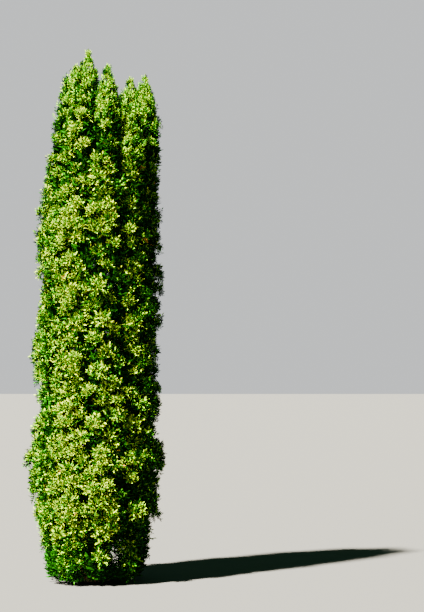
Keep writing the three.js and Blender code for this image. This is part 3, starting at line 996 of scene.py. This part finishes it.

# A rosette on each twig. Fans that hang get a deeper green as painted shade, and some, drawn at random, a
# much deeper one as painted shade of overhanging fans. Very few are dead.
# One that would end too far past the outline is shortened, or left out where little of it remains.
draw = draws_from(FAN_SEED)
for bough in boughs:
    bough["fans"] = []
    tip_share = 1 - min((bough["stem"]["top"] - bough["height"]) / TIP_LENGTH, 1)
    bough_place = place_of(bough, tip_share)
    for direction, end in zip(bough["twig_directions"], bough["twig_ends"]):
        forward = unit(direction + FAN_FORWARD * bough["axis"])
        rosette = spread_round(forward, FANS_ON_TWIG, FAN_WIDEST, next(draw) * FULL_TURN, 0.0)
        for number, heading in enumerate(rosette):
            heading = unit(heading + FAN_UPWARD * UP + TIP_UPWARD * tip_share ** 2 * UP)
            length = between(FAN_LENGTH_SHARE, next(draw)) * bough["radius"]
            face = face_of(heading, direction, FAN_ROLL * either_way(next(draw)))
            turned = 1 if next(draw) < EVEN_CHANCE else -1
            place = bough_place + HANGING_PAINTED_SHADE * (direction[2] < HANGING_BELOW)
            place += OUTER_DEEPER * (number > 0)
            place += (FANS_VARY - FANS_VARY_LESS_AT_TIP * tip_share) * either_way(next(draw))
            green = green_at(place)
            if next(draw) < DEAD_CHANCE:
                green = DEAD
            if next(draw) < OVERHUNG_CHANCE * (1 - tip_share) and green != DEAD:
                green = min(green + OVERHUNG_PAINTED_SHADE, SHADE)
            kind = int(next(draw) * FAN_KINDS)
            reach = end + heading * length * FAN_TIP_AT
            drop = FAN_SIDE_REACH * length * math.sqrt(max(1 - heading[2] ** 2, 0))
            if min(reach[2], end[2]) - drop < FAN_GROUND_GAP:
                continue
            past = (reach - bough["face"]) @ bough["radial"] - FAN_PAST - TIP_PAST * tip_share ** 3
            if past > 0 and not bough["topmost"]:
                length -= past / max(heading @ bough["radial"], LEAST_OUTWARD) / FAN_TIP_AT
                if length < FAN_SHORTEST * bough["radius"]:
                    continue
            evenness = TIP_EVENNESS * tip_share
            bough["fans"].append((end, heading, face, length, kind, turned, green, evenness))

LEADER_SEED = 29
LEADER_SPACING = 0.028
LEADER_REACH = 0.5
LEADER_THINS = 0.9
LEADER_PAST = 0.02
LEADER_TILT = (0.1, 0.45)
LEADER_LENGTH = (0.04, 0.07)
LEADER_OUT_LEAST = 0.65
LEADER_OUT_MORE = 0.45
LEADER_PLACE = 2.1
LEADER_AWAY_PAINTED_SHADE = 0.8
LEADERS_VARY = 1.0
LEADER_EVENNESS = 0.4

# The leading shoot of each stem is clothed by more fans between its tufts. They point steeply up and
# stand closer together towards the tip, so that it ends in a full spire.
draw = draws_from(LEADER_SEED)
for stem in STEMS:
    stem["leader_fans"] = []
    for height, angle, draws in buds_on(stem, LEADER_SPACING):
        below = stem["top"] - height
        if below > LEADER_REACH or next(draw) < LEADER_THINS * below / LEADER_REACH:
            continue
        radial = np.array((math.cos(angle), math.sin(angle), 0.0))
        tilt = between(LEADER_TILT, draws[0])
        heading = radial * math.sin(tilt) + UP * math.cos(tilt)
        length = between(LEADER_LENGTH, draws[1])
        out = outline_at(stem, height, angle) * (LEADER_OUT_LEAST + LEADER_OUT_MORE * draws[2])
        end = np.array((*column_at(stem, height), height + LEADER_PAST)) + radial * out
        root = end - heading * length * FAN_TIP_AT
        face = face_of(heading, radial, FAN_ROLL * either_way(next(draw)))
        # Fans on the side away from the sun get deeper greens, as painted shade
        away = ease(SHADE_FROM + SHADE_GROWTH * (radial @ SHADE_SIDE))
        green = green_at(LEADER_PLACE + LEADER_AWAY_PAINTED_SHADE * away + LEADERS_VARY * either_way(next(draw)))
        kind = int(next(draw) * FAN_KINDS)
        turned = 1 if next(draw) < EVEN_CHANCE else -1
        stem["leader_fans"].append((root, heading, face, length, kind, turned, green, LEADER_EVENNESS))

for stem in STEMS:
    for tier, tier_name in enumerate(TIERS):
        own = [bough for bough in boughs if bough["stem"] is stem and bough["tier"] == tier]
        fans = [fan for bough in own for fan in bough["fans"]]
        if tier_name == "crown":
            fans += stem["leader_fans"]
        node = f"foliage_{stem['name']}_{tier_name}"
        piece = object_of(f"fans_{stem['name']}_{tier_name}", fans_mesh("fans", fans), *leaf_materials)
        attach(piece, "root")
        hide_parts(node)


# The old foliage inside.
# Larger fans of earlier years on the inner boughs, which close the crown to the light. Their greens are
# dull, as old leaves are, and deepened to near black as painted shade. They stand upright between and
# behind the tufts and face outwards.
OLD_SEED = 19
OLD_SPACING = 0.051
OLD_HIDDEN_SHARE = 0.35
OLD_SIDEWAYS = 1.6
OLD_OUTWARD = 0.15
OLD_ROLL = 0.5
OLD_LENGTH = (0.12, 0.16)
OLD_SLIM_LEAST = 0.3
OLD_AT_SHARE = 0.53
OLD_AT_VARIES = 0.08
OLD_LOWEST = 0.03
OLD_SHORT_OF_TIP = 0.16

draw = draws_from(OLD_SEED)
for stem in STEMS:
    fans = []
    for height, angle, draws in buds_on(stem, OLD_SPACING):
        outline = outline_at(stem, height, angle)
        if space_at(stem, height, angle) < OLD_HIDDEN_SHARE * outline:
            continue
        radial = np.array((math.cos(angle), math.sin(angle), 0.0))
        tangent = np.array((-radial[1], radial[0], 0.0))
        sideways = OLD_SIDEWAYS * draws[0] - OLD_SIDEWAYS / 2
        heading = unit(tangent * sideways + UP + OLD_OUTWARD * radial)
        face = face_of(heading, radial, OLD_ROLL * either_way(draws[1]))
        length = between(OLD_LENGTH, next(draw))
        length *= min(max(outline / SLIM_SPREAD, OLD_SLIM_LEAST), 1)
        middle = np.array((*column_at(stem, height), height - length / 2))
        root = middle + radial * outline * (OLD_AT_SHARE + OLD_AT_VARIES * either_way(next(draw)))
        if root[2] < OLD_LOWEST or height > stem["top"] - OLD_SHORT_OF_TIP or thin_at(root):
            continue
        kind = int(next(draw) * FAN_KINDS)
        turned, evenness = 1, 0.0
        # Their green is the shade green and deeper, as painted shade inside the crown
        fans.append((root, heading, face, length, kind, turned, SHADE, evenness))
    piece = object_of(f"old_fans_{stem['name']}", fans_mesh("old_fans", fans), *leaf_materials)
    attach(piece, "root")
    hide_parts(*[f"foliage_{stem['name']}_{tier}" for tier in TIERS])
